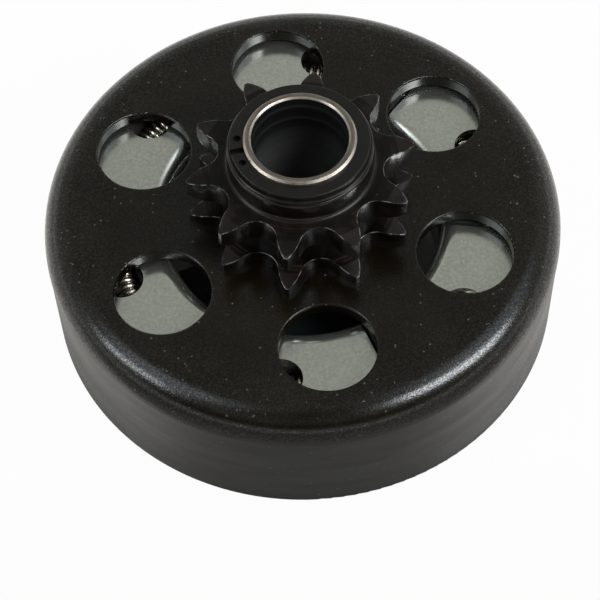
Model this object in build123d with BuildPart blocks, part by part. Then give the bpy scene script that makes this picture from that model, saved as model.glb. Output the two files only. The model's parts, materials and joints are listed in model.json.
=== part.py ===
from build123d import *
from math import asin, cos, radians, sin
import os

# Centrifugal drum clutch with a two-row chain sprocket, in millimetres.
# The origin is on the shaft axis at the foot of the hub's collar, and +Z points to the sprocket end.

# Shaft bore, keyway and hub collar
bore_dia = 19.05
key_width = 4.76
keyway_reach = 11.73
keyway_length = 32.0
collar_step = 1.4
collar_proud = 11.8
edge_break = 0.4
collar_chamfer = 1.0

# Set screws in the collar
screw_dia = 6.35
screw_length = 9.5
screw_height = 6.0
screw_socket = 3.18
socket_depth = 3.6
cup_dia = 3.4
cup_depth = 0.8
screw_seat_gap = 0.4
thread_gap = 0.05
keyway_azimuth = 90.0
side_screw_azimuth = 0.0

# Pressed drum
drum_dia = 105.8
drum_depth = 30.4
drum_sheet = 3.0
drum_bend = 6.65
wall_turned_off = 0.12
rim_round = 0.9
hole_count = 6
hole_inner_web = 2.45
hole_outer_web = 1.56
hole_phase = 36.7
hole_edge_round = 0.35

# Sprocket turned and cut in one piece, with a second row of teeth that keys into the drum
tooth_count = 10
tooth_phase = 9.3
chain_pitch = 12.7
roller_dia = 7.92
roller_play = 0.1
seat_half_angle = 60.0
addendum = 2.36
tip_land = 0.7
row_width = 5.6
row_gap = 5.2
row_proud = 2.9
tail_proud = 0.6
tooth_bevel = 3.45
tooth_bevel_drop = 0.9
neck_undercut = 0.15
boss_height = 4.6
boss_wall = 1.73
boss_fillet = 1.0
boss_edge = 0.7
spline_gap = 0.02

# Running fit of the drum on the hub's journal
journal_wall = 1.58
bushing_wall = 1.55
bushing_recess = 0.2
running_gap = 0.05
press_gap = 0.01
end_play = 0.15

# Thrust washers and the retaining ring
inner_washer_thick = 1.2
inner_washer_width = 4.7
outer_washer_thick = 0.8
outer_washer_inset = 0.15
washer_edge = 0.2
ring_thick = 1.07
ring_groove_depth = 0.66
ring_reach = 2.64
ring_opening = 1.3
ring_azimuth = 190.2
ring_play = 0.03
ring_edge_round = 0.2
lug_hole_dia = 1.5
lug_hole_inset = 1.45
lug_hole_angle = 14.0
hub_end_proud = 0.95

# Shoes, counted round the hub
shoe_count = 6
shoe_phase = 22.3
shoe_gap_angle = 1.4
shoe_travel = 1.0
shoe_depth = 20.5
contact_gap = 0.3
shell_sheet = 1.6
shell_bend = 3.5
shell_gap = 1.0
shell_short = 1.6
rim_inset = 4.8
sight_hole_dia = 8.8
sight_hole_offset = 0.7
lining_chamfer = 1.1
lining_seat_gap = 0.05

# Rivets that hold each shell to its friction block
rivet_dia = 3.0
rivet_head_dia = 4.0
rivet_inset = 2.6
rivet_angle = 25.5
rivet_play = 0.05

# Garter springs round the six shoes
coil_dia = 5.4
spring_inset = 10.8
spring_seat_gap = 0.3

# Flange and driving arms of the hub
flange_depth = 10.5
flange_thick = 7.5
flange_gap = 4.7
arm_width = 7.0
arm_reach = 5.9
arm_play = 0.2
arm_end_gap = 0.3
shoulder_rise = 3.4

# Radii, from the bore outwards
bore_r = bore_dia / 2
journal_r = bore_r + journal_wall
shoulder_r = journal_r + shoulder_rise
bushing_in_r = journal_r + running_gap
bushing_out_r = bushing_in_r + bushing_wall
sprocket_bore_r = bushing_out_r + press_gap
boss_r = sprocket_bore_r + boss_wall
ring_in_r = journal_r - ring_groove_depth + ring_play
ring_out_r = journal_r + ring_reach
pitch_r = chain_pitch / 2 / sin(radians(180 / tooth_count))
seat_r = roller_dia / 2 + roller_play
root_r = pitch_r - seat_r
neck_r = root_r - neck_undercut
tip_r = pitch_r + addendum
bevel_r = tip_r - tooth_bevel

# Radii, from the drum inwards
drum_r = drum_dia / 2
drum_wall_r = drum_r - wall_turned_off
drum_in_r = drum_r - drum_sheet
bend_r = drum_r - drum_bend
hole_r = (bend_r - hole_outer_web - tip_r - hole_inner_web) / 2
hole_circle_r = tip_r + hole_inner_web + hole_r
lining_r = drum_in_r - contact_gap - shoe_travel
shoe_in_r = lining_r - shoe_depth
lining_in_r = shoe_in_r + shell_sheet + lining_seat_gap
inner_bend = shell_bend - shell_sheet
shell_out_r = lining_r - shell_short
rivet_r = shell_out_r - rivet_inset
spring_r = shoe_in_r + spring_inset
coil_r = coil_dia / 2
sight_hole_r = spring_r + sight_hole_offset
flange_r = shoe_in_r - flange_gap
collar_r = flange_r - collar_step
arm_end_r = shoe_in_r + arm_reach

# Heights, from the foot of the collar upwards
rim_z = collar_proud
face_z = rim_z + drum_depth
sheet_z = face_z - drum_sheet
bend_z = face_z - drum_bend
tail_z = sheet_z - tail_proud
lower_row_z = face_z + row_proud
upper_row_z = lower_row_z + row_gap
upper_top_z = upper_row_z + row_width
boss_top_z = upper_top_z + boss_height
outer_washer_z = boss_top_z + end_play
ring_z = outer_washer_z + outer_washer_thick + ring_play
hub_top_z = ring_z + ring_thick + hub_end_proud
inner_washer_z = tail_z - end_play - inner_washer_thick
shell_top_z = sheet_z - shell_gap
shell_foot_z = rim_z + rim_inset
lining_top_z = shell_top_z - shell_sheet
lining_foot_z = shell_foot_z + shell_sheet
flange_top_z = shell_top_z - flange_depth
flange_foot_z = flange_top_z - flange_thick
front_spring_z = lining_top_z - spring_seat_gap - coil_r
rear_spring_z = lining_foot_z + spring_seat_gap + coil_r

# Room that each shoe leaves for the springs and for its driving arm
groove_in_r = spring_r - coil_r - spring_seat_gap
groove_out_r = spring_r + coil_r + spring_seat_gap
groove_depth = coil_dia + 2 * spring_seat_gap
slot_end_r = arm_end_r + arm_end_gap
slot_width = arm_width + 2 * arm_play
slot_foot_z = flange_foot_z - arm_play
slot_height = flange_thick + 2 * arm_play
shoe_pitch = 360 / shoe_count
shoe_span = shoe_pitch - shoe_gap_angle
shoe_azimuths = [shoe_phase + i * shoe_pitch for i in range(shoe_count)]


def half_plane(azimuth):
    """The plane through the axis at an azimuth: its x is the radius and its y is the height."""
    a = radians(azimuth)
    return Plane(origin=(0, 0, 0), x_dir=(cos(a), sin(a), 0), z_dir=(sin(a), -cos(a), 0))


def level_plane(height, azimuth=0.0):
    """A level plane at a height whose x axis points to an azimuth."""
    a = radians(azimuth)
    return Plane(origin=(0, 0, height), x_dir=(cos(a), sin(a), 0), z_dir=(0, 0, 1))


def radial_plane(radius, height, azimuth):
    """An upright plane that faces outwards, at a radius, a height and an azimuth."""
    a = radians(azimuth)
    centre = (radius * cos(a), radius * sin(a), height)
    return Plane(origin=centre, x_dir=(-sin(a), cos(a), 0), z_dir=(cos(a), sin(a), 0))


def box_profile(r_low, r_high, z_low, z_high, mode=Mode.ADD):
    """Adds a rectangle to the open half-plane sketch, given by its radii and heights."""
    with Locations((r_low, z_low)):
        Rectangle(r_high - r_low, z_high - z_low, align=(Align.MIN, Align.MIN), mode=mode)


def folded_profile(r_low, r_high, z_low, z_high, bend, mode=Mode.ADD):
    """Adds a rectangle to the open half-plane sketch with its two inner corners rounded to a bend."""
    with BuildSketch(mode=Mode.PRIVATE) as folded:
        box_profile(r_low, r_high, z_low, z_high)
        fillet(folded.vertices().group_by(Axis.X)[0], bend)
    add(folded.sketch, mode=mode)


def finish(name, part):
    """Labels a finished piece and writes its file."""
    part.label = name
    export_step(part, f"parts/{name}.step")


def ring(name, r_in, r_out, z_low, z_high):
    """A plain turned ring with its outer edges broken."""
    with BuildPart() as turned:
        with BuildSketch(Plane.XZ):
            box_profile(r_in, r_out, z_low, z_high)
        revolve(axis=Axis.Z)
        circles = turned.edges().filter_by(GeomType.CIRCLE)
        chamfer(circles.sort_by(SortBy.RADIUS)[-2:], washer_edge)
    finish(name, turned.part)


def tooth_gap():
    """The gap between two teeth about the local x axis: a roller seat and two tangent flanks."""
    seat_turn = radians(seat_half_angle)
    tip_turn = radians(180 / tooth_count) - asin(tip_land / 2 / tip_r)
    beyond_r = tip_r + addendum
    seat_end = Vector(pitch_r - seat_r * cos(seat_turn), seat_r * sin(seat_turn))
    flank_start = Vector(sin(seat_turn), cos(seat_turn))
    flank_end = Vector(tip_r * cos(tip_turn), tip_r * sin(tip_turn))
    outside = Vector(beyond_r * cos(tip_turn), beyond_r * sin(tip_turn))
    with BuildSketch(mode=Mode.PRIVATE) as gap:
        with BuildLine():
            ThreePointArc((seat_end.X, -seat_end.Y), (root_r, 0), seat_end)
            TangentArc(seat_end, flank_end, tangent=flank_start)
            Line(flank_end, outside)
            Line(outside, (outside.X, -outside.Y))
            Line((outside.X, -outside.Y), (flank_end.X, -flank_end.Y))
            TangentArc((seat_end.X, -seat_end.Y), (flank_end.X, -flank_end.Y),
                       tangent=(flank_start.X, -flank_start.Y))
        make_face()
    return gap.sketch


def toothed_outline(height, allowance):
    """The sprocket's outline: the tip circle less one gap for each tooth, grown by an allowance."""
    with BuildSketch(level_plane(height, tooth_phase)) as outline:
        Circle(tip_r)
        with PolarLocations(0, tooth_count, start_angle=180 / tooth_count):
            add(one_gap, mode=Mode.SUBTRACT)
        offset(amount=allowance)
    return outline.sketch


def rivet_pair(azimuth, play):
    """The two countersunk rivets of one shoe, or the room that they take when given a play."""
    shank_r = rivet_dia / 2 + play
    head_r = rivet_head_dia / 2 + play
    head_depth = (rivet_head_dia - rivet_dia) / 2
    with BuildPart() as pair:
        for turn in (rivet_angle, -rivet_angle):
            a = radians(azimuth + turn)
            centre = Plane(origin=(rivet_r * cos(a), rivet_r * sin(a), 0), x_dir=(1, 0, 0), z_dir=(0, -1, 0))
            with BuildSketch(centre):
                with BuildLine():
                    Polyline(
                        (0, shell_foot_z),
                        (head_r, shell_foot_z),
                        (shank_r, shell_foot_z + head_depth),
                        (shank_r, shell_top_z - head_depth),
                        (head_r, shell_top_z),
                        (0, shell_top_z),
                        close=True,
                    )
                make_face()
            revolve(axis=Axis(centre.origin, (0, 0, 1)))
    return pair.part


def arm_slot(azimuth):
    """The plan of the slot that a driving arm of the hub slides in."""
    with BuildSketch(level_plane(slot_foot_z, azimuth)) as slot:
        with Locations(((flange_r + slot_end_r) / 2, 0)):
            Rectangle(slot_end_r - flange_r, slot_width)
    return slot.sketch


def shoe_shell(number, azimuth):
    """The folded sheet of one shoe: two cheeks and the web that joins them on the inside."""
    rivet_room = rivet_pair(azimuth, rivet_play)
    with BuildPart() as shell:
        with BuildSketch(half_plane(azimuth - shoe_span / 2)):
            folded_profile(shoe_in_r, shell_out_r, shell_foot_z, shell_top_z, shell_bend)
            folded_profile(shoe_in_r + shell_sheet, shell_out_r, lining_foot_z, lining_top_z, inner_bend,
                           mode=Mode.SUBTRACT)
        revolve(axis=Axis.Z, revolution_arc=shoe_span)
        with BuildSketch(level_plane(shell_foot_z, azimuth)):
            with Locations((sight_hole_r, 0)):
                Circle(sight_hole_dia / 2)
        extrude(amount=shell_top_z - shell_foot_z, mode=Mode.SUBTRACT)
        extrude(arm_slot(azimuth), amount=slot_height, mode=Mode.SUBTRACT)
        add(rivet_room, mode=Mode.SUBTRACT)
    finish(f"shoe_shell_{number}", shell.part)


def friction_block(number, azimuth):
    """The friction block of one shoe, grooved for both springs and slotted for its driving arm."""
    rivet_room = rivet_pair(azimuth, rivet_play)
    with BuildPart() as block:
        with BuildSketch(half_plane(azimuth - shoe_span / 2)) as section:
            folded_profile(lining_in_r, lining_r, lining_foot_z, lining_top_z, inner_bend)
            chamfer(section.vertices().group_by(Axis.X)[-1], lining_chamfer)
            box_profile(groove_in_r, groove_out_r, lining_top_z - groove_depth, lining_top_z, mode=Mode.SUBTRACT)
            box_profile(groove_in_r, groove_out_r, lining_foot_z, lining_foot_z + groove_depth, mode=Mode.SUBTRACT)
        revolve(axis=Axis.Z, revolution_arc=shoe_span)
        extrude(arm_slot(azimuth), amount=slot_height, mode=Mode.SUBTRACT)
        add(rivet_room, mode=Mode.SUBTRACT)
    finish(f"friction_block_{number}", block.part)


os.makedirs("parts", exist_ok=True)
one_gap = tooth_gap()

# Hub: collar, flange with driving arms, shoulder and journal in one turned piece
with BuildPart() as hub:
    with BuildSketch(Plane.XZ):
        box_profile(bore_r, collar_r, 0, flange_foot_z)
        box_profile(bore_r, flange_r, flange_foot_z, flange_top_z)
        box_profile(bore_r, shoulder_r, flange_top_z, inner_washer_z)
        box_profile(bore_r, journal_r, inner_washer_z, hub_top_z)
        box_profile(journal_r - ring_groove_depth, journal_r, ring_z - ring_play,
                    ring_z + ring_thick + ring_play, mode=Mode.SUBTRACT)
    revolve(axis=Axis.Z)
    chamfer(hub.edges().filter_by(GeomType.CIRCLE).group_by(Axis.Z)[-1], edge_break)
    chamfer(hub.edges().filter_by(GeomType.CIRCLE).group_by(Axis.Z)[0].sort_by(SortBy.RADIUS)[0], edge_break)
    chamfer(hub.edges().filter_by(GeomType.CIRCLE).group_by(Axis.Z)[0].sort_by(SortBy.RADIUS)[-1], collar_chamfer)
    for arm_azimuth in shoe_azimuths:
        with BuildSketch(level_plane(flange_foot_z, arm_azimuth)):
            with Locations(((shoulder_r + arm_end_r) / 2, 0)):
                Rectangle(arm_end_r - shoulder_r, arm_width)
    extrude(amount=flange_thick)
    with BuildSketch(level_plane(0, keyway_azimuth)):
        with Locations((keyway_reach / 2, 0)):
            Rectangle(keyway_reach, key_width)
    extrude(amount=keyway_length, mode=Mode.SUBTRACT)
    for screw_azimuth in (keyway_azimuth, side_screw_azimuth):
        with BuildSketch(radial_plane(0, screw_height, screw_azimuth)):
            Circle(screw_dia / 2 + thread_gap)
    extrude(amount=flange_r, mode=Mode.SUBTRACT)
finish("hub", hub.part)

# Two cup-point set screws, one over the keyway and one beside it
screw_ends = ((keyway_azimuth, keyway_reach + screw_seat_gap), (side_screw_azimuth, bore_r + screw_seat_gap))
with BuildPart() as set_screws:
    for screw_azimuth, inner_end in screw_ends:
        with BuildSketch(radial_plane(inner_end, screw_height, screw_azimuth)):
            Circle(screw_dia / 2)
    extrude(amount=screw_length)
    chamfer(set_screws.edges().filter_by(GeomType.CIRCLE), edge_break)
    for screw_azimuth, inner_end in screw_ends:
        with BuildSketch(radial_plane(inner_end + screw_length, screw_height, screw_azimuth)):
            RegularPolygon(screw_socket / 2, 6, major_radius=False)
    extrude(amount=-socket_depth, mode=Mode.SUBTRACT)
    for screw_azimuth, inner_end in screw_ends:
        with BuildSketch(radial_plane(inner_end, screw_height, screw_azimuth)):
            Circle(cup_dia / 2)
    extrude(amount=cup_depth, taper=45, mode=Mode.SUBTRACT)
finish("set_screws", set_screws.part)

# Thrust washers on the journal
ring("inner_thrust_washer", bushing_in_r, bushing_in_r + inner_washer_width,
     inner_washer_z, inner_washer_z + inner_washer_thick)
ring("outer_thrust_washer", bushing_in_r, boss_r - outer_washer_inset,
     outer_washer_z, outer_washer_z + outer_washer_thick)

# Retaining ring in the journal's groove, open at one side between two plier holes
with BuildPart() as retaining_ring:
    with BuildSketch(level_plane(ring_z, ring_azimuth)):
        Circle(ring_out_r)
        Circle(ring_in_r, mode=Mode.SUBTRACT)
        with Locations((journal_r, 0)):
            Rectangle(journal_r, ring_opening, mode=Mode.SUBTRACT)
        with PolarLocations(ring_out_r - lug_hole_inset, 2, start_angle=-lug_hole_angle,
                            angular_range=2 * lug_hole_angle, endpoint=True):
            Circle(lug_hole_dia / 2, mode=Mode.SUBTRACT)
    extrude(amount=ring_thick)
    fillet(retaining_ring.edges().filter_by(GeomType.CIRCLE).sort_by(SortBy.RADIUS)[-2:], ring_edge_round)
finish("retaining_ring", retaining_ring.part)

# Pressed drum with six round holes and a toothed seat for the sprocket
with BuildPart() as drum:
    with BuildSketch(Plane.XZ):
        with BuildLine():
            Polyline((bend_r, face_z), (0, face_z), (0, sheet_z), (bend_r, sheet_z))
            RadiusArc((bend_r, sheet_z), (drum_in_r, bend_z), drum_bend - drum_sheet)
            Polyline((drum_in_r, bend_z), (drum_in_r, rim_z), (drum_wall_r, rim_z), (drum_wall_r, bend_z),
                     (drum_r, bend_z))
            RadiusArc((drum_r, bend_z), (bend_r, face_z), -drum_bend)
        make_face()
    revolve(axis=Axis.Z)
    fillet(drum.edges().filter_by(GeomType.CIRCLE).group_by(Axis.Z)[0], rim_round)
    with BuildSketch(level_plane(sheet_z, hole_phase)):
        with PolarLocations(hole_circle_r, hole_count):
            Circle(hole_r)
    extrude(amount=drum_sheet, mode=Mode.SUBTRACT)
    circles = drum.edges().filter_by(GeomType.CIRCLE)
    fillet(circles.filter_by(lambda e: abs(e.radius - hole_r) < 1e-4), hole_edge_round)
    extrude(toothed_outline(sheet_z, spline_gap), amount=drum_sheet, mode=Mode.SUBTRACT)
finish("drum", drum.part)

# Sprocket: a turned blank with two bevelled rows, a neck and a boss, cut to the toothed outline
with BuildPart() as sprocket:
    with BuildSketch(Plane.XZ):
        with BuildLine():
            Polyline(
                (sprocket_bore_r, tail_z),
                (tip_r, tail_z),
                (tip_r, lower_row_z - tooth_bevel_drop),
                (bevel_r, lower_row_z),
                (neck_r, lower_row_z),
                (neck_r, upper_row_z),
                (bevel_r, upper_row_z),
                (tip_r, upper_row_z + tooth_bevel_drop),
                (tip_r, upper_top_z - tooth_bevel_drop),
                (bevel_r, upper_top_z),
                (boss_r, upper_top_z),
                (boss_r, boss_top_z),
                (sprocket_bore_r, boss_top_z),
                close=True,
            )
        make_face()
    revolve(axis=Axis.Z)
    circles = sprocket.edges().filter_by(GeomType.CIRCLE)
    fillet(circles.filter_by(lambda e: abs(e.radius - boss_r) < 1e-4).sort_by(Axis.Z)[0], boss_fillet)
    circles = sprocket.edges().filter_by(GeomType.CIRCLE)
    fillet(circles.group_by(Axis.Z)[-1].sort_by(SortBy.RADIUS)[-1], boss_edge)
    extrude(toothed_outline(tail_z, 0), amount=boss_top_z - tail_z, mode=Mode.INTERSECT)
finish("sprocket", sprocket.part)

# Bronze bushing pressed into the sprocket
ring("bronze_bushing", bushing_in_r, bushing_out_r, tail_z + bushing_recess, boss_top_z - bushing_recess)

# Garter springs, drawn as the plain ring that their coils fill
for spring_name, spring_z in (("front_garter_spring", front_spring_z), ("rear_garter_spring", rear_spring_z)):
    with BuildPart() as garter_spring:
        with BuildSketch(Plane.XZ):
            with Locations((spring_r, spring_z)):
                Circle(coil_r)
        revolve(axis=Axis.Z)
    finish(spring_name, garter_spring.part)

# Shoes: a folded shell, a friction block between its cheeks and two rivets through both
for shoe_number, shoe_azimuth in enumerate(shoe_azimuths, start=1):
    shoe_shell(shoe_number, shoe_azimuth)
    friction_block(shoe_number, shoe_azimuth)
    finish(f"shoe_rivets_{shoe_number}", rivet_pair(shoe_azimuth, 0))
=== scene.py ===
"""Dresses the packed centrifugal sprocket clutch: smooth surfaces, wound springs, finishes and a plain studio."""

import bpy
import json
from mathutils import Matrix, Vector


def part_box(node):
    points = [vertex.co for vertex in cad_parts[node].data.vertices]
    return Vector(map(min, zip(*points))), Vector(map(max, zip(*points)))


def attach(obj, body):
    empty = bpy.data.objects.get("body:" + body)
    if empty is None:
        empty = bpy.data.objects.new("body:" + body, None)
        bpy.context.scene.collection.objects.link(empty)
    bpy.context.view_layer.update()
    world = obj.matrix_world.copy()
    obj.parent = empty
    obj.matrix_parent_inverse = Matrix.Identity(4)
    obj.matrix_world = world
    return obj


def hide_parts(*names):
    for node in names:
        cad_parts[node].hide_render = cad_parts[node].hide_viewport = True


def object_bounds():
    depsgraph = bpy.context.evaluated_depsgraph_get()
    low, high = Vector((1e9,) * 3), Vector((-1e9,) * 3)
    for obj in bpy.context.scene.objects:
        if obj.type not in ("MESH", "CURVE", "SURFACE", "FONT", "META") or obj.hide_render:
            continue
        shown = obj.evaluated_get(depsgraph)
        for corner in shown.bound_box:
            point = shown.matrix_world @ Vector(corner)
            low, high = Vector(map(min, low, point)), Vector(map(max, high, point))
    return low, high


bl_info = {
    "name": "Centrifugal Sprocket Clutch",
    "version": (1, 0, 0),
    "blender": (4, 5, 0),
    "location": "View3D > Sidebar > Clutch",
    "description": "Makes the drum, sprocket, hub, springs and shoes of a centrifugal sprocket clutch",
    "category": "Add Mesh",
}

import json
from math import radians

import bmesh
import bpy
import numpy as np
from bpy.props import FloatProperty, FloatVectorProperty, IntProperty, PointerProperty
from mathutils import Matrix, Vector

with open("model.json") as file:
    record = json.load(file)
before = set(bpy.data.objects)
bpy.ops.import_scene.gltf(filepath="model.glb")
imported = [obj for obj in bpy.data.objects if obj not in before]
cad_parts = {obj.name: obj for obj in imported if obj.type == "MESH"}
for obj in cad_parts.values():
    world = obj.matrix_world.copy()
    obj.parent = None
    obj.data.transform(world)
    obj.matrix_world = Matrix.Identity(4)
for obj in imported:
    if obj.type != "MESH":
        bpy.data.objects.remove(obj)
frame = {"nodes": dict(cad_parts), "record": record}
CAD_BOX = [list(corner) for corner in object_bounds()]
SPROCKET_LOW, SPROCKET_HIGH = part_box("sprocket")
COIL_LOW, COIL_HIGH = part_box("front_garter_spring")
SCREW_LOW, SCREW_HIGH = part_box("set_screws")
DRUM_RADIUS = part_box("drum")[1][0]

TAU = 2 * np.pi
SHOES = 6
WELD_DISTANCE = 2e-7

# Points along the sprocket's curves, and how far from its ends the bore's even rows begin.
SEAT_POINTS = FLANK_POINTS = 13
FACE_ROWS = 7
EDGE_ROWS = 4
BORE_ROWS = 12
NECK_ROWS = 4
BORE_END = 0.0015

# Each lamp's azimuth, elevation and lean in degrees, then its long and short side in metres.
LAMPS = {
    "right_lamp": (-26, 44, -32, 0.49, 0.225),
    "left_lamp": (199, 33.5, 35, 0.34, 0.182),
}
LAMP_DISTANCE = 0.8
LAMP_AIM = (0, 0, 0.035)
FLOOR_REACH = 4.0

# Each pane of the ceiling: its direction, how nearly a ray has to point there, and the light that it adds, where 1 is
# as bright as the walls.
PANES = (
    ((0.52, 0.05, 0.85), 0.92, 2.8),
    ((-0.50, -0.12, 0.86), 0.94, 3.6),
    ((0.0, -0.53, 0.85), 0.92, -0.35),
)

# The photograph's viewpoint: about 58 degrees above the horizon, turned 1.9 degrees about its line of sight.
CAMERA_PLACE = (-0.001025, -0.231665, 0.372284)
CAMERA_RIGHT = (0.99944685, -0.02814554, -0.01771481)
CAMERA_UP = (0.03325637, 0.84585213, 0.53237974)


def length(name, description, default):
    """A length property in metres."""
    return FloatProperty(name=name, description=description, default=default, min=0.0, subtype="DISTANCE",
                         unit="LENGTH", precision=5)


def turn(name, description, degrees):
    """An angle property, given in degrees."""
    return FloatProperty(name=name, description=description, default=radians(degrees), subtype="ANGLE")


def colour(name, description, default):
    """A colour property."""
    return FloatVectorProperty(name=name, description=description, default=default, size=3, min=0.0, max=1.0,
                               subtype="COLOR")


class ClutchSprocketSizes(bpy.types.PropertyGroup):
    """Sizes of the two-row sprocket."""
    teeth: IntProperty(name="Teeth", description="Teeth in each row", default=10, min=6)
    phase: turn("Tooth azimuth", "Azimuth of the first tooth", 9.3)
    pitch_radius: length("Pitch radius", "Radius of the circle through the roller centres", 0.020549)
    seat_radius: length("Seat radius", "Radius of each roller seat", 0.00406)
    tip_radius: length("Tip radius", "Radius of the tooth tips", 0.022909)
    tip_land: length("Tip land", "Width of the flat at each tooth tip", 0.0007)
    edge: length("Edge", "Break of the tooth edges", 0.00014)
    bore_radius: length("Bore radius", "Radius of the bore that holds the bushing", 0.012715)
    bore_edge: length("Bore edge", "Break of the bore's edges", 0.0002)
    boss_radius: length("Boss radius", "Radius of the boss above the upper row", 0.014445)
    boss_fillet: length("Boss fillet", "Radius at the foot of the boss", 0.001)
    boss_round: length("Boss rounding", "Rounding of the boss's upper edge", 0.0007)
    neck_radius: length("Neck radius", "Radius of the neck between the rows", 0.016339)
    bevel_radius: length("Bevel radius", "Radius at which the tooth bevel starts", 0.019459)
    bevel_drop: length("Bevel drop", "Drop of the bevel at the tooth tip", 0.0009)
    row: length("Row", "Thickness of the upper row", 0.0056)
    row_gap: length("Row gap", "Clear height between the rows", 0.0052)
    boss: length("Boss height", "Height of the boss above the upper row", 0.0046)


class ClutchSpringSizes(bpy.types.PropertyGroup):
    """Sizes of the garter springs."""
    wire: length("Wire", "Diameter of the spring wire", 0.0014)
    pitch: length("Pitch", "Distance from turn to turn along the ring", 0.00158)
    span: FloatProperty(name="Span", description="Share of its sixth that each stretch of coil fills",
                        default=0.999, min=0.5, max=1.0)
    turn_points: IntProperty(name="Turn points", description="Points along each turn", default=22, min=8)
    wire_points: IntProperty(name="Wire points", description="Points round the wire", default=8, min=4)


class ClutchScrewSizes(bpy.types.PropertyGroup):
    """Sizes of the set screws."""
    radius: length("Radius", "Outer radius of the thread", 0.003175)
    pitch: length("Pitch", "Pitch of the thread", 0.000907)
    long: length("Length", "Length of the screw", 0.0095)
    socket: length("Socket", "Width of the socket across its flats", 0.00318)
    deep: length("Depth", "Depth of the socket", 0.0036)
    cup: length("Cup", "Radius of the cup at the inner end", 0.0017)
    points: IntProperty(name="Points", description="Points round the screw", default=36, min=12)
    pitch_rows: IntProperty(name="Pitch rows", description="Rows of points to each pitch", default=8, min=4)


class ClutchHubSizes(bpy.types.PropertyGroup):
    """Radii at which the hub's finish changes."""
    bare_radius: length("Bare radius", "Radius up to which the turned steel is bare", 0.0147)
    bore_radius: length("Bore radius", "Radius of the oiled bore", 0.009525)


class ClutchFinish(bpy.types.PropertyGroup):
    """Colours of the finishes."""
    black_oxide: colour("Black oxide", "Drum's black oxide", (0.0050, 0.0035, 0.0014))
    sprocket_oxide: colour("Sprocket oxide", "Sprocket's brown-black oxide", (0.0018, 0.0011, 0.0007))
    bright_steel: colour("Bright steel", "Turned bare steel", (0.36, 0.325, 0.28))
    zinc: colour("Zinc", "Zinc plating on the shoe shells", (0.76, 0.775, 0.70))
    wire: colour("Wire", "Drawn spring wire", (0.66, 0.62, 0.54))
    lining: colour("Lining", "Moulded friction block", (0.030, 0.026, 0.021))
    bronze: colour("Bronze", "Sintered bronze bushing", (0.50, 0.30, 0.13))


class ClutchStage(bpy.types.PropertyGroup):
    """Light and view."""
    lens: FloatProperty(name="Lens", description="Focal length for a 36 mm sensor", default=119.14, min=1.0)
    right_lamp: FloatProperty(name="Right lamp", description="Power of the right soft box in watts", default=4.9)
    left_lamp: FloatProperty(name="Left lamp", description="Power of the left soft box in watts", default=1.4)
    room: FloatProperty(name="Room", description="Brightness of the room's walls, where 1 is white", default=0.45)


GROUPS = {
    "clutch_sprocket": ClutchSprocketSizes,
    "clutch_spring": ClutchSpringSizes,
    "clutch_screw": ClutchScrewSizes,
    "clutch_hub": ClutchHubSizes,
    "clutch_finish": ClutchFinish,
    "clutch_stage": ClutchStage,
}


class Skin:
    """Collects grids of points into one closed mesh."""

    def __init__(self):
        self.points, self.faces, self.worn, self.count = [], [], [], 0

    def grid(self, points, worn=None):
        """Adds a grid of points: neighbours make quads, and the last column joins the first.

        Worn gives each row of the grid its share of bare metal, from 0 to 1: both wear and a painted edge highlight.
        """
        rows, columns = points.shape[:2]
        index = self.count + np.arange(rows * columns).reshape(rows, columns)
        index = np.concatenate([index, index[:, :1]], axis=1)
        quads = np.stack([index[:-1, :-1], index[1:, :-1], index[1:, 1:], index[:-1, 1:]], axis=-1)
        self.points.append(points.reshape(-1, 3))
        self.worn.append(np.repeat(np.zeros(rows) if worn is None else worn, columns))
        self.faces.append(quads.reshape(-1, 4))
        self.count += rows * columns

    def build(self, name, sharp):
        """Welds the grids, turns their faces outwards and shades them smooth up to a sharp angle in degrees."""
        points, faces = np.concatenate(self.points), np.concatenate(self.faces)
        mesh = bpy.data.meshes.new(name)
        mesh.vertices.add(len(points))
        mesh.vertices.foreach_set("co", points.astype(np.float32).ravel())
        mesh.loops.add(faces.size)
        mesh.loops.foreach_set("vertex_index", faces.astype(np.int32).ravel())
        mesh.polygons.add(len(faces))
        mesh.polygons.foreach_set("loop_start", np.arange(0, faces.size, 4, dtype=np.int32))
        mesh.update(calc_edges=True)
        worn = mesh.attributes.new("worn", "FLOAT", "POINT")
        worn.data.foreach_set("value", np.concatenate(self.worn).astype(np.float32))
        weld = bmesh.new()
        weld.from_mesh(mesh)
        bmesh.ops.remove_doubles(weld, verts=weld.verts, dist=WELD_DISTANCE)
        bmesh.ops.dissolve_degenerate(weld, dist=WELD_DISTANCE / 2, edges=weld.edges)
        bmesh.ops.recalc_face_normals(weld, faces=weld.faces)
        weld.to_mesh(mesh)
        weld.free()
        mesh.polygons.foreach_set("use_smooth", np.ones(len(mesh.polygons), dtype=bool))
        mesh.set_sharp_from_angle(angle=radians(sharp))
        piece = bpy.data.objects.new(name, mesh)
        bpy.context.scene.collection.objects.link(piece)
        return piece


def unit(vectors):
    """Vectors scaled to length one."""
    return vectors / np.linalg.norm(vectors, axis=-1, keepdims=True)


def arc(centre, radius, start, end, count):
    """Points (r, z) on a circle from one angle to another in degrees, both ends included."""
    a = np.radians(np.linspace(start, end, count))
    return np.stack([centre[0] + radius * np.cos(a), centre[1] + radius * np.sin(a)], axis=-1)


def turned(profile, azimuths):
    """A surface of revolution: each (r, z) of the profile is carried round the axis at the given azimuths."""
    profile = np.asarray(profile, dtype=float)
    ring = np.stack([np.cos(azimuths), np.sin(azimuths)], axis=-1)
    points = np.empty((len(profile), len(azimuths), 3))
    points[..., :2] = profile[:, None, :1] * ring[None]
    points[..., 2] = profile[:, 1][:, None]
    return points


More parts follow.
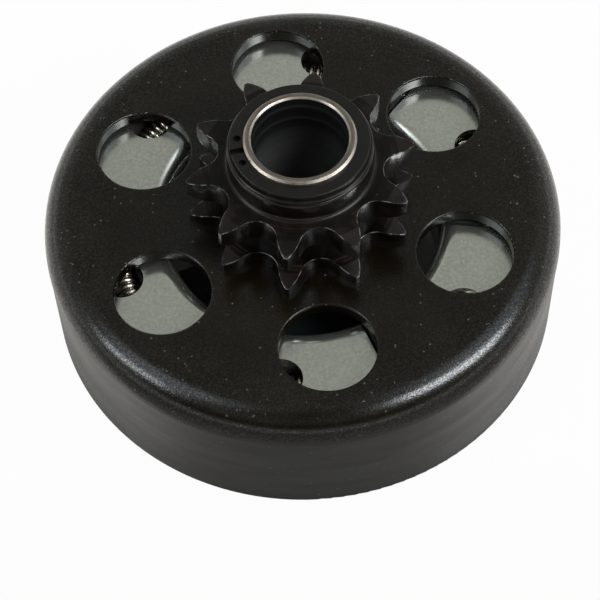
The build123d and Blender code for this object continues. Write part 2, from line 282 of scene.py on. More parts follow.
def tooth_line(sizes):
    """The sprocket's outline, counter-clockwise, with each gap made of a roller seat and two flanks.

    The seat is an arc about the roller centre over 60 degrees each way. Each flank is an arc tangent to it that
    ends at the tooth's land: its centre lies on the seat's normal, as far out as makes it pass the land's corner.
    """
    half = np.pi / sizes.teeth
    seat = np.radians(np.linspace(0, 60, SEAT_POINTS))
    p, s = sizes.pitch_radius, sizes.seat_radius
    root = np.stack([p - s * np.cos(seat), s * np.sin(seat)], axis=-1)
    land = half - np.arcsin(sizes.tip_land / 2 / sizes.tip_radius)
    start, end = root[-1], sizes.tip_radius * np.array([np.cos(land), np.sin(land)])
    normal = np.array([-np.cos(seat[-1]), np.sin(seat[-1])])
    chord = end - start
    bow = chord @ chord / (2 * chord @ normal)
    centre = start + bow * normal
    first, last = np.arctan2(*(start - centre)[::-1]), np.arctan2(*(end - centre)[::-1])
    sweep = first + np.linspace(0, (last - first + np.pi) % TAU - np.pi, FLANK_POINTS)[1:]
    flank = centre + bow * np.stack([np.cos(sweep), np.sin(sweep)], axis=-1)
    tip = sizes.tip_radius * np.array([[np.cos(half), np.sin(half)]])
    side = np.concatenate([root, flank, tip])
    gap = np.concatenate([side[-2:0:-1] * [1, -1], side])
    turns = sizes.phase + half + np.arange(sizes.teeth) * 2 * half
    return np.concatenate([gap @ np.array([[np.cos(a), np.sin(a)], [-np.sin(a), np.cos(a)]]) for a in turns])


def inset(line, amount):
    """Moves a closed counter-clockwise line inwards along its normals."""
    along = unit(np.roll(line, -1, axis=0) - np.roll(line, 1, axis=0))
    return line + amount * np.stack([-along[:, 1], along[:, 0]], axis=-1)


def bevelled_face(sizes, inner_radius, outline, height, drop):
    """One face of a tooth row, ruled from an inner circle to the outline along rays from the axis.

    Its height is level out to the bevel's radius, and from there it falls evenly to the full drop at the tooth tip.
    """
    reach = np.linalg.norm(outline, axis=1)
    bend = np.minimum(reach, sizes.bevel_radius)
    share = np.linspace(0, 1, FACE_ROWS)[:, None]
    radii = np.concatenate([inner_radius + share * (bend - inner_radius), bend + share[1:] * (reach - bend)])
    fall = np.clip((radii - sizes.bevel_radius) / (sizes.tip_radius - sizes.bevel_radius), 0, 1) * drop
    return np.concatenate([radii[..., None] * unit(outline), (height - fall)[..., None]], axis=-1)


def broken_edge(outline, edge, face, wall_way):
    """Rounds the edge between a tooth row's face and its wall: a quarter circle from the inset line to the wall.

    The face gives the height at each point of the outline, and wall_way is -1 where the wall goes down from it.
    """
    rows = []
    for step in np.radians(np.linspace(0, 90, EDGE_ROWS + 1))[1:]:
        line = inset(outline, edge * (1 - np.sin(step)))
        height = face + wall_way * edge * (1 - np.cos(step))
        rows.append(np.concatenate([line, height[:, None]], axis=-1))
    return np.stack(rows)


def sprocket_surface(sizes, low, high):
    """The sprocket as one closed skin: the same azimuths run up the bore, over the boss and down both tooth rows.

    The rows of points over each tooth edge are marked as worn to bare metal, both wear and a painted highlight.
    """
    outline = tooth_line(sizes)
    line = inset(outline, sizes.edge)
    azimuths = np.arctan2(line[:, 1], line[:, 0])
    top = high - sizes.boss
    under, lower = top - sizes.row, top - sizes.row - sizes.row_gap
    foot = sizes.boss_radius + sizes.boss_fillet
    bore, edge = sizes.bore_radius, sizes.bore_edge
    bore_heights = np.linspace(high - BORE_END, low + BORE_END, BORE_ROWS)
    core = np.concatenate([
        [(foot, top)],
        arc((foot, top + sizes.boss_fillet), sizes.boss_fillet, 270, 180, 9)[1:],
        [(sizes.boss_radius, (top + high) / 2)],
        arc((sizes.boss_radius - sizes.boss_round, high - sizes.boss_round), sizes.boss_round, 0, 90, 8),
        [(bore + edge, high), (bore, high - edge)],
        np.stack([np.full(BORE_ROWS, bore), bore_heights], axis=-1),
        [(bore, low + edge), (bore + edge, low)],
    ])
    neck = np.stack([np.full(NECK_ROWS, sizes.neck_radius), np.linspace(under, lower, NECK_ROWS)], axis=-1)
    skin = Skin()
    skin.grid(turned(core, azimuths))
    skin.grid(turned(neck, azimuths))
    face_worn = np.zeros(2 * (FACE_ROWS - 1))
    edge_worn = np.array([0.2, 1, 1, 0.5, 0])
    worn = np.concatenate([face_worn, edge_worn, edge_worn[::-1], face_worn])
    for upper_face, lower_face in (
            (bevelled_face(sizes, foot, line, top, sizes.bevel_drop),
             bevelled_face(sizes, sizes.neck_radius, line, under, -sizes.bevel_drop)),
            (bevelled_face(sizes, sizes.neck_radius, line, lower, sizes.bevel_drop),
             bevelled_face(sizes, bore + edge, line, low, 0.0))):
        rim = [broken_edge(outline, sizes.edge, upper_face[-1, :, 2], -1),
               broken_edge(outline, sizes.edge, lower_face[-1, :, 2], 1)[::-1]]
        skin.grid(np.concatenate([upper_face, *rim, lower_face[::-1]]), worn)
    return skin


def wound_stretch(radius, height, coil, sizes, way):
    """The sixth of a garter spring that lies over one shoe: wire wound in turns about a circle round the axis.

    A point at turn angle t of the winding lies at azimuth t divided by the whole ring's number of turns, counted
    from 30 degrees before the shoe's direction, and the wire's section is a circle in the plane square to the
    winding there. The span draws the stretch together a little, so that its closed ends don't touch the next ones.
    """
    turns = int(round(TAU * radius / sizes.pitch / SHOES))
    t = np.arange(-1, turns * sizes.turn_points + 2) * TAU / sizes.turn_points
    azimuth = way + sizes.span * (t / (turns * SHOES) - TAU / SHOES / 2)
    out = np.stack([np.cos(azimuth), np.sin(azimuth), np.zeros_like(t)], axis=-1)
    up = np.array([0.0, 0.0, 1.0])
    aside = np.cos(t)[:, None] * out + np.sin(t)[:, None] * up
    centre = radius * out + height * up + (coil - sizes.wire / 2) * aside
    along = unit(centre[2:] - centre[:-2])
    centre, aside = centre[1:-1], aside[1:-1]
    third = unit(np.cross(along, aside))
    s = np.arange(sizes.wire_points) * TAU / sizes.wire_points
    section = sizes.wire / 2 * (np.cos(s)[:, None] * aside[:, None] + np.sin(s)[:, None] * third[:, None])
    point = np.zeros_like(section[:1])
    section = np.concatenate([point, section, point])
    centre = np.concatenate([centre[:1], centre, centre[-1:]])
    skin = Skin()
    skin.grid(centre[:, None] + section)
    return skin


def threaded_screw(centre, way, sizes):
    """A socket set screw whose thread is carried round its axis as a radius that depends on height less turn.

    The radius is full where the height in pitches less the share of a turn is a whole number, and dips by a 60
    degree thread's depth half way between. Both ends run out to a cone, and the socket and cup are carried down
    inside them to a blunt point.
    """
    across, pitch, long = sizes.points, sizes.pitch, sizes.long
    thread_depth, end_taper = 0.54 * pitch, 0.6 * pitch
    point_width, point_height = 0.02, 0.0008
    mouth_width, mouth_height = 1.06, 0.0001
    turn_angle = np.arange(across) * TAU / across
    heights = np.linspace(0, long, int(long / pitch * sizes.pitch_rows) + 1)
    wave = np.abs((heights[:, None] / pitch - turn_angle[None] / TAU + 0.5) % 1.0 - 0.5) * 2
    end = np.minimum(heights, long - heights)[:, None]
    depth = thread_depth * np.clip(1.2 * wave - 0.1, 0, 1)
    radii = np.minimum(sizes.radius - depth, sizes.radius - end_taper + end)
    cup = np.full(across, sizes.cup)
    socket = sizes.socket / 2 / np.cos((turn_angle + np.pi / 6) % (np.pi / 3) - np.pi / 6)
    layers = [
        (cup * point_width, point_height),
        (cup, 0.0),
        *zip(radii, heights),
        (socket * mouth_width, long),
        (socket, long - mouth_height),
        (socket, long - sizes.deep),
        (socket * point_width, long - sizes.deep - point_height),
    ]
    up = np.array((0.0, 0.0, 1.0))
    ring = np.cos(turn_angle)[:, None] * np.cross(up, way) + np.sin(turn_angle)[:, None] * up
    return np.stack([centre + radius[:, None] * ring + height * way for radius, height in layers])


class Value:
    """A number on its way through a node tree. Arithmetic and comparison on it add Math nodes."""

    def __init__(self, nodes, socket):
        self.nodes, self.socket = nodes, socket

    def math(self, operation, *values):
        """Adds a Math node for an operation on one or two values."""
        return self.nodes.node("ShaderNodeMath", {"operation": operation}, dict(enumerate(values)))

    def __add__(self, other): return self.math("ADD", self, other)
    def __radd__(self, other): return self.math("ADD", other, self)
    def __sub__(self, other): return self.math("SUBTRACT", self, other)
    def __rsub__(self, other): return self.math("SUBTRACT", other, self)
    def __mul__(self, other): return self.math("MULTIPLY", self, other)
    def __rmul__(self, other): return self.math("MULTIPLY", other, self)
    def __lt__(self, other): return self.math("LESS_THAN", self, other)
    def __abs__(self): return self.math("ABSOLUTE", self)


class Nodes:
    """A node tree, with a method for each kind of step that the finishes and the room are made of."""

    def __init__(self, tree):
        self.tree = tree

    def node(self, kind, settings=None, inputs=None, output=0):
        """Adds a node: its settings are set first, then the values or links of its sockets."""
        node = self.tree.nodes.new(kind)
        for key, value in (settings or {}).items():
            setattr(node, key, value)
        for key, value in (inputs or {}).items():
            self.feed(node.inputs[key], value)
        return Value(self, node.outputs[output])

    def feed(self, socket, value):
        """Links a value to a socket, or sets the socket to a number, a vector or a colour."""
        if isinstance(value, Value):
            self.tree.links.new(value.socket, socket)
        elif hasattr(value, "__len__") and len(value) == 3 and socket.type == "RGBA":
            socket.default_value = (*value, 1.0)
        else:
            socket.default_value = value

    def part(self, vector, which):
        """One number of a vector or colour, counted from 0."""
        return self.node("ShaderNodeSeparateXYZ", {}, {0: vector}, output=which)

    def between(self, value, low, high, to_low=0.0, to_high=1.0):
        """Eases a value from one range to another."""
        return self.node("ShaderNodeMapRange", {"interpolation_type": "SMOOTHSTEP"},
                         {"Value": value, "From Min": low, "From Max": high, "To Min": to_low, "To Max": to_high})

    def blend(self, share, first, second):
        """Mixes two colours."""
        return self.node("ShaderNodeMix", {"data_type": "RGBA"}, {0: share, 6: first, 7: second}, output=2)


class Finish(Nodes):
    """One material, built around its Principled shader."""

    def __init__(self, name):
        self.material = bpy.data.materials.new(name)
        self.material.use_nodes = True
        super().__init__(self.material.node_tree)
        self.shader = next(n for n in self.tree.nodes if n.type == "BSDF_PRINCIPLED")
        self.place = self.node("ShaderNodeTexCoord", output="Object")

    def set(self, **sockets):
        """Sets or links sockets of the shader, named with underscores for spaces."""
        for key, value in sockets.items():
            self.feed(self.shader.inputs[key.replace("_", " ")], value)
        return self.material

    def stretched(self, stretch):
        """The place with each of its coordinates multiplied."""
        return self.node("ShaderNodeVectorMath", {"operation": "MULTIPLY"}, {0: self.place, 1: stretch})

    def distance(self):
        """The distance from the axis."""
        return self.node("ShaderNodeVectorMath", {"operation": "LENGTH"}, {0: self.stretched((1, 1, 0))},
                         output="Value")

    def lathe(self):
        """The point (distance, height, 0), for patterns turned on a lathe."""
        return self.node("ShaderNodeCombineXYZ", {}, {0: self.distance(), 1: self.part(self.place, 2)})

    def noise(self, scale, detail=2.0, roughness=0.5, at=None):
        """Cloudy noise at the place or at another vector."""
        return self.node("ShaderNodeTexNoise", {}, {"Vector": at or self.place, "Scale": scale, "Detail": detail,
                                                    "Roughness": roughness})

    def specks(self, scale, size, share, stretch=(1, 1, 1), turned_by=0.0):
        """Marks small scattered spots: cells of a Voronoi pattern whose own chance is within the share."""
        vector = self.node("ShaderNodeMapping", {}, {"Vector": self.place, "Rotation": (0, 0, turned_by),
                                                     "Scale": stretch})
        cell = {"Vector": vector, "Scale": scale}
        distance = self.node("ShaderNodeTexVoronoi", {}, cell, output="Distance")
        chance = self.part(self.node("ShaderNodeTexVoronoi", {}, cell, output="Color"), 0)
        return (chance < share) * self.between(distance, size, size * 0.5)

    def bump(self, height, distance, strength=1.0, normal=None):
        """A normal bent by a height, on top of another bent normal if there is one."""
        inputs = {"Strength": strength, "Distance": distance, "Height": height}
        if normal:
            inputs["Normal"] = normal
        return self.node("ShaderNodeBump", {}, inputs)

    def facing_up(self, low=0.5, high=0.85):
        """One on level faces and zero on upright walls."""
        normal = self.node("ShaderNodeNewGeometry", output="Normal")
        return self.between(abs(self.part(normal, 2)), low, high)


def tone(rgb, *factors):
    """A colour made lighter or darker, by one factor or by one for each of its parts."""
    return tuple(min(1.0, c * k) for c, k in zip(rgb, factors * 3 if len(factors) == 1 else factors))


def black_oxide(rgb, rim_radius):
    """Semi-gloss black oxide: faint clouding, fine pale specks, short handling scratches and a duller upright wall.

    Towards the rim pale glints gather, a painted highlight; the bend and the wall have a grainy or smeared sheen.
    """
    f = Finish("black_oxide_pressing")
    pale, scratched, glint_colour = (0.085, 0.082, 0.074), (0.12, 0.115, 0.105), (0.13, 0.125, 0.115)
    distance = f.distance()
    upright = 1.0 - f.facing_up(0.03, 0.30)
    wall = upright * f.between(distance, rim_radius - 0.003, rim_radius - 0.002)
    rim = f.between(distance, rim_radius - 0.014, rim_radius - 0.006, 0.35, 1.0) * (1.0 - 0.7 * wall)
    bend = f.between(distance, rim_radius - 0.016, rim_radius - 0.008, 0.55, 1.0)
    clouds = f.noise(90, 3.0)
    grain = f.noise(2600, 2.0, 0.6)
    smears = f.noise(34, 4.0, 0.6, at=f.stretched((1, 1, 2.2)))
    streaks = f.noise(30, 4.0, 0.6, at=f.stretched((1, 1, 7)))
    specks = f.specks(760, 0.20, 0.16) + f.specks(230, 0.085, 0.30) + f.specks(150, 0.10, 0.07)
    scratches = f.specks(90, 0.03, 0.30, (1, 9, 9), 0.9) + f.specks(75, 0.025, 0.28, (10, 1, 9), 0.35)
    # Painted highlight: pale glints that copy the sparkle along the bend's highlight.
    painted_glints = f.between(f.noise(1250, 2.0, 0.6), 0.68, 0.75) * f.between(f.noise(140, 2.0), 0.47, 0.60)
    shade = f.blend(f.between(clouds, 0.3, 0.7), tone(rgb, 0.7), tone(rgb, 1.3))
    shade = f.blend(f.between(specks, 0.0, 1.0, 0.0, 0.8), shade, pale)
    shade = f.blend(f.between(scratches, 0.0, 1.0, 0.0, 0.7), shade, scratched)
    # The painted glints are full on the bend, about a third as strong over the face and weak on the wall.
    shade = f.blend(rim * painted_glints, shade, glint_colour)
    rough = 0.15 + 0.07 * clouds - 0.04 * upright + wall * (0.14 + 0.16 * smears + 0.04 * streaks)
    bend_sheen = f.between(grain, 0.44, 0.62, 0.0, 0.75) * bend * (1.0 - upright)
    wall_sheen = wall * f.between(streaks + 0.45 * smears + 0.15 * grain, 0.50, 1.05, 0.02, 0.35)
    normal = f.bump(grain * (1.0 - 0.75 * upright), 0.00006, 0.7, f.bump(clouds, 0.0003, 0.12))
    return f.set(Base_Color=shade, Roughness=rough, Normal=normal, IOR=1.40,
                 Specular_Tint=(0.94, 0.97, 1.0, 1.0), Coat_Weight=bend_sheen + wall_sheen, Coat_Roughness=0.16)


def sprocket_oxide(rgb, bevel_radius):
    """Brown-black oxide over a turned blank with milled gaps.

    Rings run round the faces and upright marks up the walls; edges rubbed to steel are both wear and painted
    highlight.
    """
    f = Finish("black_oxide_sprocket")
    brown, scored = (0.0085, 0.0048, 0.0032), (0.030, 0.027, 0.024)
    speck, bare = (0.05, 0.044, 0.036), (0.26, 0.25, 0.24)
    lathe = f.lathe()
    up = f.facing_up()
    rings = f.noise(2600, 2.0, at=lathe)
    mill = f.noise(2300, 2.0, at=f.stretched((1, 1, 0.03)))
    clouds = f.noise(260, 3.0)
    marks = f.node("ShaderNodeMix", {"data_type": "FLOAT"}, {0: up, 2: mill, 3: rings})
    # bevel marks the level tooth bevels, which get a painted highlight.
    bevel = up * f.between(f.distance(), bevel_radius, bevel_radius + 0.0003)
    worn = f.node("ShaderNodeAttribute", {"attribute_name": "worn"}, output="Fac")
    # Lighter rubbed edges: both wear and a painted highlight along the tooth edges.
    rubbed = worn * f.between(f.noise(700, 3.0), 0.42, 0.62)
    scores = up * f.between(f.noise(1900, 1.0, at=lathe), 0.57, 0.65) * f.between(clouds, 0.44, 0.58)
    shade = f.blend(f.between(marks, 0.3, 0.7), tone(rgb, 0.6), tone(rgb, 1.5))
    shade = f.blend(f.between(clouds, 0.38, 0.68, 0.0, 0.75), shade, brown)
    shade = f.blend(0.6 * scores, shade, scored)
    # Painted highlight: the tooth bevels are made lighter.
    shade = f.blend(bevel * f.between(clouds, 0.35, 0.7, 0.1, 0.9), shade, tone(rgb, 5.0))
    shade = f.blend(f.specks(620, 0.13, 0.10), shade, speck)
    shade = f.blend(0.8 * rubbed, shade, bare)
    return f.set(Base_Color=shade, Roughness=0.22 + 0.14 * marks + 0.10 * clouds, Metallic=0.6 * rubbed,
                 Normal=f.bump(marks, 0.00005, 0.8), IOR=1.32, Coat_Roughness=0.14,
                 Coat_Weight=(1.0 - up) * f.between(clouds, 0.35, 0.65, 0.25, 0.8))


def hub_steel(rgb, sizes, top):
    """The hub's finish: bright turned ends and journal, whose sloped and upright faces carry a painted highlight, an
    oiled bore with painted reflection bands and painted light deeper down, and a dark, non-metallic finish from the
    flange outwards.
    """
    f = Finish("turned_steel")
    oil, painted_reflection, painted_deep_light, oxide = (0.008,) * 3, (0.040,) * 3, (0.24, 0.24, 0.23), (0.010, 0.0145, 0.016)
    distance, lathe = f.distance(), f.lathe()
    rings = f.noise(4200, 3.0, 0.7, at=lathe)
    reflection_bands = f.noise(300, 1.0, at=lathe)
    stains = f.noise(300, 4.0)
    grit = f.noise(2400, 3.0, 0.6)
    nicks = f.specks(700, 0.2, 0.12)
    level = f.facing_up(0.8, 0.95)
    black = f.between(distance, sizes.bare_radius, sizes.bare_radius + 0.0003)
    bore = f.between(distance, sizes.bore_radius + 0.00012, sizes.bore_radius)
    shade = f.blend(f.between(rings, 0.35, 0.65), tone(rgb, 0.55), tone(rgb, 1.2))
    shade = f.blend(f.between(stains, 0.42, 0.70, 0.0, 0.7), shade, tone(rgb, 0.50, 0.46, 0.42))
    shade = f.blend(f.between(grit, 0.4, 0.75, 0.0, 0.5), shade, tone(rgb, 0.5))
    # Painted highlight: sloped and upright faces, such as the chamfers, are lighter in patches.
    shade = f.blend((1.0 - level) * f.between(stains, 0.35, 0.6, 0.2, 1.0), shade, tone(rgb, 1.45))
    shade = f.blend(nicks, shade, tone(rgb, 0.2))
    # Painted reflection: lighter bands in the dark oiled bore copy the soft bright arcs reflected there.
    oiled = f.blend(f.between(reflection_bands, 0.45, 0.62), oil, painted_reflection)
    # Painted light: from 6 to 30 mm below the top the bore grows lighter, filling in the shade that falls there.
    oiled = f.blend(f.between(f.part(f.place, 2), top - 0.006, top - 0.03), oiled, painted_deep_light)
    shade = f.blend(bore, shade, oiled)
    # Dark and not metallic from the flange outwards.
    shade = f.blend(black, shade, oxide)
    return f.set(Base_Color=shade, Metallic=(1.0 - black) * (1.0 - 0.8 * bore),
                 Roughness=0.30 + 0.14 * rings + 0.10 * grit, Normal=f.bump(rings + 0.6 * grit, 0.00003, 0.7))


def rivet_steel(rgb):
    """Bare steel: fine lathe rings and light staining."""
    f = Finish("rivet_steel")
    rings = f.noise(5200, 2.0, at=f.lathe())
    stains = f.noise(240, 4.0)
    shade = f.blend(f.between(stains, 0.35, 0.8), rgb, tone(rgb, 0.62, 0.52, 0.42))
    return f.set(Base_Color=shade, Metallic=1.0, Roughness=0.34 + 0.14 * rings, Normal=f.bump(rings, 0.00003, 0.5))


def zinc_plate(rgb):
    """Zinc-plated sheet: soft mottling, small bright and dark spots, short scratches and a satin sheen.

    The upright web has faint draw lines.
    """
    f = Finish("zinc_plated_sheet")
    bright = (1.0, 1.0, 0.97)
    clouds = f.noise(240, 3.0)
    grain = f.noise(1500, 4.0, 0.75)
    drawn = f.noise(1900, 2.0, at=f.stretched((1, 1, 0.05)))
    up = f.facing_up()
    shade = f.blend(f.between(grain, 0.3, 0.72), tone(rgb, 0.82), tone(rgb, 1.10))
    shade = f.blend(f.between(clouds, 0.35, 0.7, 0.0, 0.5), shade, tone(rgb, 0.92))
    shade = f.blend(0.6 * f.specks(900, 0.2, 0.10), shade, tone(rgb, 0.7))
    shade = f.blend(0.7 * f.specks(500, 0.12, 0.10), shade, bright)
    shade = f.blend(0.8 * f.specks(110, 0.024, 0.45, (1, 9, 9), 0.6), shade, bright)
    return f.set(Base_Color=shade, Metallic=0.95, Roughness=0.12 + 0.08 * grain + 0.05 * clouds,
                 Normal=f.bump(drawn * (1.0 - up) + grain * (0.3 + 0.5 * up), 0.00003, 0.5))


def spring_wire(rgb):
    """Drawn wire: bright, with brown oil between the turns."""
    f = Finish("spring_wire")
    streaks = f.noise(1400, 3.0)
    shade = f.blend(f.between(streaks, 0.45, 0.8), rgb, tone(rgb, 0.6, 0.5, 0.4))
    return f.set(Base_Color=shade, Metallic=1.0, Roughness=0.2 + 0.12 * streaks)


def friction_lining(rgb):
    """Moulded lining: brown-grey binder with metal chips."""
    f = Finish("friction_material")
    grain = f.noise(1100, 5.0, 0.65)
    chips = f.specks(900, 0.22, 0.16)
    shade = f.blend(f.between(grain, 0.3, 0.7), tone(rgb, 0.7), tone(rgb, 1.35))
    shade = f.blend(0.6 * chips, shade, (0.20, 0.16, 0.11))
    return f.set(Base_Color=shade, Roughness=0.82 - 0.2 * chips, Normal=f.bump(grain, 0.0001, 0.5))


def bronze(rgb):
    """Sintered bronze: fine pores in a dull yellow-brown metal."""
    f = Finish("sintered_bronze")
    pores = f.noise(4200, 2.0)
    shade = f.blend(f.between(pores, 0.3, 0.6), tone(rgb, 0.55), rgb)
    return f.set(Base_Color=shade, Metallic=1.0, Roughness=0.5 - 0.1 * pores, Normal=f.bump(pores, 0.00003, 0.5))


def black_steel(name, rgb, rough):
    """Plain black oxide on a small part, with a fine grain."""
    f = Finish(name)
    grain = f.noise(2800, 2.0)
    clouds = f.noise(500, 3.0)
    shade = f.blend(f.between(clouds, 0.3, 0.7), tone(rgb, 0.75), tone(rgb, 1.5))
    return f.set(Base_Color=shade, Roughness=rough + 0.1 * grain, Normal=f.bump(grain, 0.00002, 0.4), IOR=1.42)


def white_floor(foot_radius):
    """A white floor that keeps the object's soft shadow and that the camera and glossy surfaces see as white.

    Under the drum and in front of it its colour is painted dark, a painted shadow, and under the drum the camera sees
    only what the light makes of it. Gloss sees it warm, whitening with the distance from the drum's foot, and dimmer
    close in front, a painted shadow in reflections, and far away.
    """
    f = Finish("white_floor")
    white, warm = (1.0, 1.0, 1.0), (1.0, 0.96, 0.90)
    distance, away = f.distance(), f.part(f.place, 1)
    # Painted shadow: the floor's colour is dark under the drum and darker in front of it.
    pale = f.between(distance, 0.6 * foot_radius, foot_radius) * f.between(away, -0.055, -0.035, 0.3, 1.0)
    f.set(Base_Color=f.blend(pale, (0.06,) * 3, (0.6,) * 3), Roughness=0.9)
    camera, gloss, glass = [f.node("ShaderNodeLightPath", output=ray) for ray in
                            ("Is Camera Ray", "Is Glossy Ray", "Is Transmission Ray")]
    # Painted shadow in reflections: glossy rays see less of the white glow close to the drum, least in front.
    near = f.between(distance, 1.03 * foot_radius, 1.26 * foot_radius) * f.between(away, -0.066, -0.040, 0.24, 1.0)
    far = f.between(distance, 0.35, 0.12, 0.3, 1.0)
    share = 0.97 * (camera * f.between(distance, 0.7 * foot_radius, 0.84 * foot_radius)
                    + 0.9 * (gloss + glass) * near * far)
    glow = f.node("ShaderNodeEmission", {}, {"Color": f.blend(gloss, white, warm), "Strength": 1.0})
    body = Value(f, f.shader.outputs[0])
    mixed = f.node("ShaderNodeMixShader", {}, {0: share, 1: body, 2: glow})
    output = next(n for n in f.tree.nodes if n.type == "OUTPUT_MATERIAL")
    f.tree.links.new(mixed.socket, output.inputs["Surface"])
    return f.material


def dress(material, *names):
    """Gives CAD nodes a material through their own slots."""
    for name in names:
        for slot in frame["nodes"][name].material_slots:
            slot.material = material


def shoe_nodes(kind):
    """The names of one kind of node in all shoes."""
    return sorted(name for name in frame["nodes"] if name.startswith(kind))


class CLUTCH_OT_drum(bpy.types.Operator):
    """Finish the pressed drum in black oxide"""
    bl_idname = "clutch.drum"
    bl_label = "Finish Drum"

    def execute(self, context):
        dress(black_oxide(context.scene.clutch_finish.black_oxide, DRUM_RADIUS), "drum")
        return {"FINISHED"}


class CLUTCH_OT_sprocket(bpy.types.Operator):
    """Make the sprocket with broken tooth edges and finish it and its bushing"""
    bl_idname = "clutch.sprocket"
    bl_label = "Make Sprocket"

    def execute(self, context):
        sizes, finish = context.scene.clutch_sprocket, context.scene.clutch_finish
        piece = sprocket_surface(sizes, SPROCKET_LOW[2], SPROCKET_HIGH[2]).build("two_row_sprocket", sharp=40)
        piece.data.materials.append(sprocket_oxide(finish.sprocket_oxide, sizes.bevel_radius))
        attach(piece, "drum_and_sprocket")
        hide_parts("sprocket")
        dress(bronze(finish.bronze), "bronze_bushing")
        return {"FINISHED"}


class CLUTCH_OT_hub(bpy.types.Operator):
    """Finish the hub, its washers and the retaining ring"""
    bl_idname = "clutch.hub"
    bl_label = "Finish Hub"

    def execute(self, context):
        finish = context.scene.clutch_finish
        dress(hub_steel(finish.bright_steel, context.scene.clutch_hub, CAD_BOX[1][2]), "hub")
        dress(black_steel("washer_steel", (0.008, 0.006, 0.005), 0.26),
              "inner_thrust_washer", "outer_thrust_washer")
        dress(black_steel("black_spring_steel", (0.0030, 0.0024, 0.0018), 0.36), "retaining_ring")
        return {"FINISHED"}


class CLUTCH_OT_screws(bpy.types.Operator):
    """Make the two threaded set screws in the collar"""
    bl_idname = "clutch.screws"
    bl_label = "Make Set Screws"

    def execute(self, context):
        sizes = context.scene.clutch_screw
        height = (SCREW_LOW[2] + SCREW_HIGH[2]) / 2
        skin = Skin()
        for side in (0, 1):
            way = np.eye(3)[side]
            centre = way * (SCREW_HIGH[side] - sizes.long) + np.array((0, 0, height))
            skin.grid(threaded_screw(centre, way, sizes))
        piece = skin.build("socket_set_screws", sharp=35)
        piece.data.materials.append(black_steel("black_screw_steel", (0.014, 0.014, 0.015), 0.35))
        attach(piece, "hub")
        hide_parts("set_screws")
        return {"FINISHED"}


class CLUTCH_OT_springs(bpy.types.Operator):
    """Wind the two garter springs, each in six stretches that move out with the shoes under them"""
    bl_idname = "clutch.springs"
    bl_label = "Wind Springs"

    def execute(self, context):
        sizes = context.scene.clutch_spring
        material = spring_wire(context.scene.clutch_finish.wire)
        slide_of = {joint["name"]: joint["axis"] for joint in frame["record"]["behaviour"]["joints"]}
        coil = (COIL_HIGH[2] - COIL_LOW[2]) / 2
        for node in ("front_garter_spring", "rear_garter_spring"):
            low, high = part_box(node)
            for shoe in range(1, SHOES + 1):
                x, y, _ = slide_of[f"shoe_{shoe}_slides_out"]
                skin = wound_stretch(high[0] - coil, (low[2] + high[2]) / 2, coil, sizes, np.arctan2(y, x))
                piece = skin.build(node.replace("garter_spring", f"wound_garter_{shoe}"), sharp=60)
                piece.data.materials.append(material)
                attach(piece, f"shoe_{shoe}")
                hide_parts(node)
        return {"FINISHED"}


class CLUTCH_OT_shoes(bpy.types.Operator):
    """Finish the shoes: zinc-plated shells, friction blocks and rivets"""
    bl_idname = "clutch.shoes"
    bl_label = "Finish Shoes"

    def execute(self, context):
        finish = context.scene.clutch_finish
        dress(zinc_plate(finish.zinc), *shoe_nodes("shoe_shell"))
        dress(friction_lining(finish.lining), *shoe_nodes("friction_block"))
        dress(rivet_steel(tone(finish.zinc, 0.9)), *shoe_nodes("shoe_rivets"))
        return {"FINISHED"}


class CLUTCH_OT_stage(bpy.types.Operator):
    """Set up the floor, the soft lamps, the room and the camera"""
    bl_idname = "clutch.stage"
    bl_label = "Set Up Stage"

    def execute(self, context):
        scene, stage = context.scene, context.scene.clutch_stage
        mesh = bpy.data.meshes.new("floor")
        corners = FLOOR_REACH * np.array([(-1, -1, 0), (1, -1, 0), (1, 1, 0), (-1, 1, 0)])
        mesh.from_pydata(corners.tolist(), [], [(0, 1, 2, 3)])
        mesh.materials.append(white_floor(DRUM_RADIUS))
        floor = bpy.data.objects.new("floor", mesh)
        scene.collection.objects.link(floor)
        for name in LAMPS:
            soft_box(scene, name, getattr(stage, name))
        room_light(scene, stage.room)
        place_camera(scene, stage.lens)
        scene.view_settings.view_transform = "Standard"
        return {"FINISHED"}


def soft_box(scene, name, power):
    """A rectangular lamp turned towards the clutch, its long side leaning from the level."""
    *angles, long_size, short_size = LAMPS[name]
    azimuth, elevation, lean = np.radians(angles)
    way = np.array((np.cos(elevation) * np.cos(azimuth), np.cos(elevation) * np.sin(azimuth), np.sin(elevation)))
    level = np.array((-np.sin(azimuth), np.cos(azimuth), 0.0))
    long_side = np.cos(lean) * level + np.sin(lean) * np.cross(way, level)
    lamp = bpy.data.lights.new(name, "AREA")
    lamp.shape, lamp.size, lamp.size_y, lamp.energy = "RECTANGLE", long_size, short_size, power
    lamp.color = (0.95, 0.975, 1.0)
    holder = bpy.data.objects.new(name, lamp)
    axes = Matrix((long_side, np.cross(way, long_side), way)).transposed().to_4x4()
    holder.matrix_world = Matrix.Translation(Vector(LAMP_AIM) + LAMP_DISTANCE * Vector(way)) @ axes
    scene.collection.objects.link(holder)


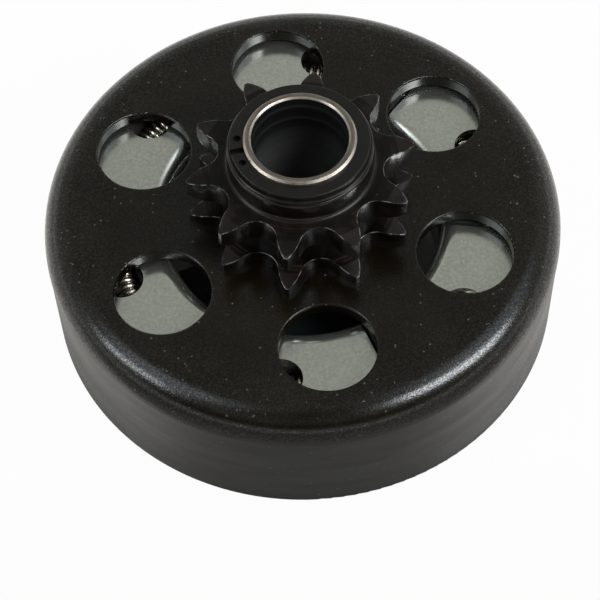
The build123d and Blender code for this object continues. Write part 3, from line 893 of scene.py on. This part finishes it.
def room_light(scene, wall):
    """A room that is white round its horizon, grey above, and dim overhead and low in front.

    Bluish panes brighten its ceiling at the right and left, and a patch in front is a little darker.
    """
    world = scene.world or bpy.data.worlds.new("room")
    scene.world = world
    world.use_nodes = True
    world.node_tree.nodes.clear()
    f = Nodes(world.node_tree)
    white, grey, bluish = (1.0, 1.0, 1.0), (0.98, 1.0, 0.93), (0.86, 0.93, 1.0)
    way = f.node("ShaderNodeTexCoord", output="Generated")
    away, rise = f.part(way, 1), f.part(way, 2)
    low_front = f.between(away, -0.25, -0.75) * f.between(rise, 0.75, 0.4)
    room = f.between(rise, 0.5, 0.9, wall, wall * 0.62) * (1.0 - 0.92 * low_front)
    panes = 0.0
    for aim, narrow, share in PANES:
        toward = f.node("ShaderNodeVectorMath", {"operation": "DOT_PRODUCT"}, {0: way, 1: aim}, output="Value")
        panes = panes + f.between(toward, narrow, 0.99, 0.0, wall * share)
    horizon = f.between(rise, 0.24, 0.16)
    tint = f.blend(f.between(panes, 0.0, 0.6), grey, bluish)
    glow = f.node("ShaderNodeBackground", {}, {"Color": f.blend(horizon, tint, white),
                                               "Strength": horizon + (1.0 - horizon) * (room + panes)})
    output = f.tree.nodes.new("ShaderNodeOutputWorld")
    f.tree.links.new(glow.socket, output.inputs["Surface"])


def place_camera(scene, lens):
    """The camera at the photograph's viewpoint."""
    right, up = Vector(CAMERA_RIGHT), Vector(CAMERA_UP)
    data = bpy.data.cameras.new("camera")
    data.lens, data.sensor_width = lens, 36.0
    data.clip_start, data.clip_end = 0.01, 50.0
    camera = bpy.data.objects.new("camera", data)
    axes = Matrix((right, up, right.cross(up))).transposed().to_4x4()
    camera.matrix_world = Matrix.Translation(CAMERA_PLACE) @ axes
    scene.collection.objects.link(camera)
    scene.camera = camera


STEPS = (CLUTCH_OT_drum, CLUTCH_OT_sprocket, CLUTCH_OT_hub, CLUTCH_OT_screws, CLUTCH_OT_springs, CLUTCH_OT_shoes,
         CLUTCH_OT_stage)


class CLUTCH_PT_panel(bpy.types.Panel):
    """Lists the clutch's sizes, colours and steps"""
    bl_idname = "CLUTCH_PT_panel"
    bl_label = "Sprocket Clutch"
    bl_space_type = "VIEW_3D"
    bl_region_type = "UI"
    bl_category = "Clutch"

    def draw(self, context):
        for name, group in GROUPS.items():
            box = self.layout.box()
            box.label(text=group.__doc__)
            for prop in group.__annotations__:
                box.prop(getattr(context.scene, name), prop)
        for step in STEPS:
            self.layout.operator(step.bl_idname)


CLASSES = (*GROUPS.values(), *STEPS, CLUTCH_PT_panel)


def register():
    for cls in CLASSES:
        bpy.utils.register_class(cls)
    for name, group in GROUPS.items():
        setattr(bpy.types.Scene, name, PointerProperty(type=group))


def unregister():
    for name in GROUPS:
        delattr(bpy.types.Scene, name)
    for cls in reversed(CLASSES):
        bpy.utils.unregister_class(cls)


def main():
    """Makes every piece in order."""
    register()
    for step in STEPS:
        group, name = step.bl_idname.split(".")
        getattr(getattr(bpy.ops, group), name)()


if __name__ == "__main__":
    main()
